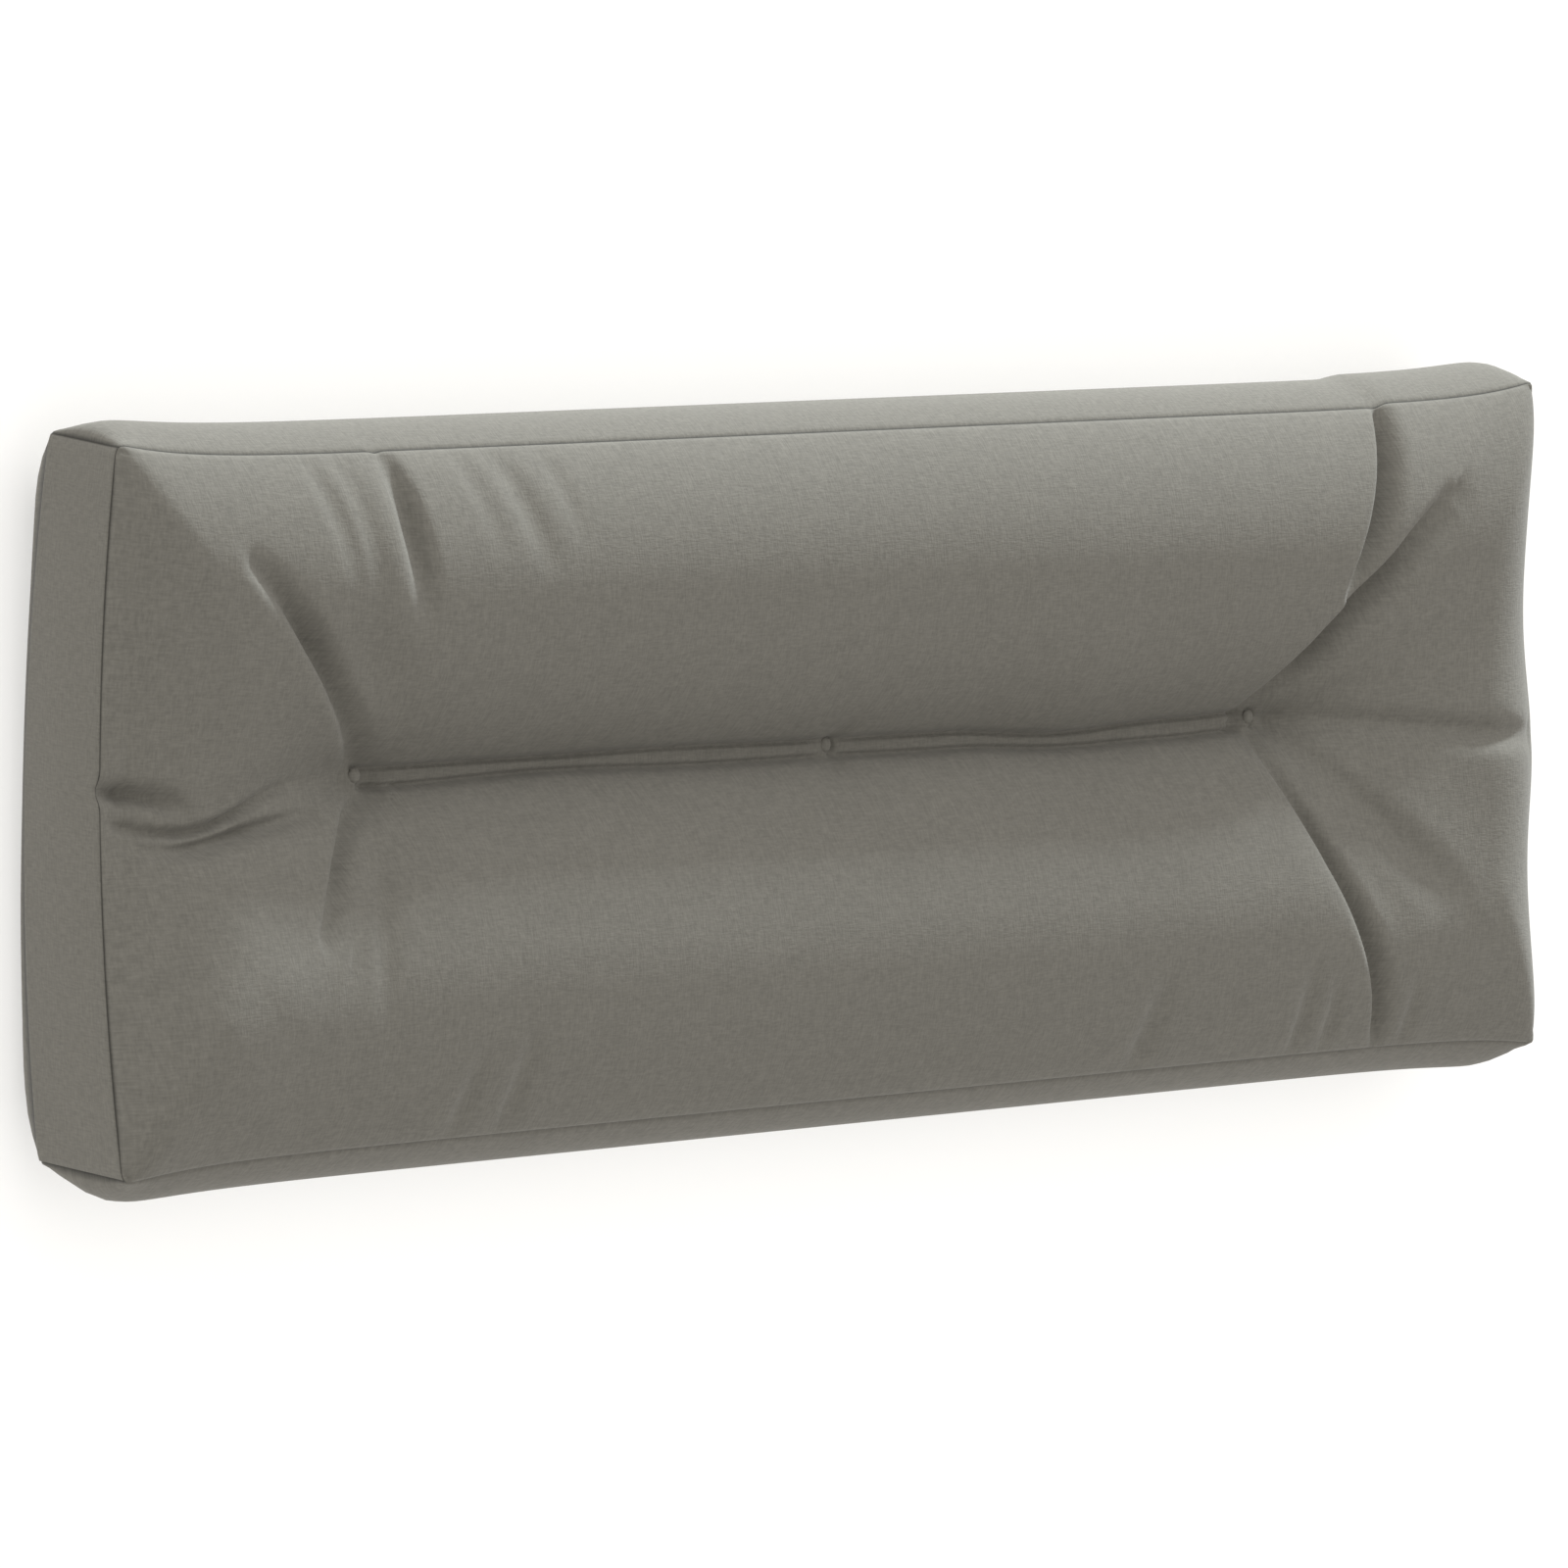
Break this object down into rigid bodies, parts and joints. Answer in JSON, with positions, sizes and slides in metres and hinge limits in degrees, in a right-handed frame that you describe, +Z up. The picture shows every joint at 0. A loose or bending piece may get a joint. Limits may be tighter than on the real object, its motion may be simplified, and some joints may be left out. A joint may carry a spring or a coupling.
{
  "type": "pallet cushion",
  "caption": "Long box cushion for a pallet bench, with a row of tufts that draw its front panel into full lobes and creases.",
  "frame": {"origin": "on the surface it lies on, under the middle of its length and width", "axes": "+X along the length, +Y to the edge that is on top when it stands as a backrest, +Z up, out of the tufted front panel"},
  "size_m": [1.209, 0.4232, 0.1226],
  "materials": {
    "cover": "matt woven",
    "button": "matt woven"
  },
  "bodies": {
    "root": {"cushion": "cover", "tuft_button_1": "button", "tuft_button_2": "button", "tuft_button_3": "button"}
  },
  "joints": []
}
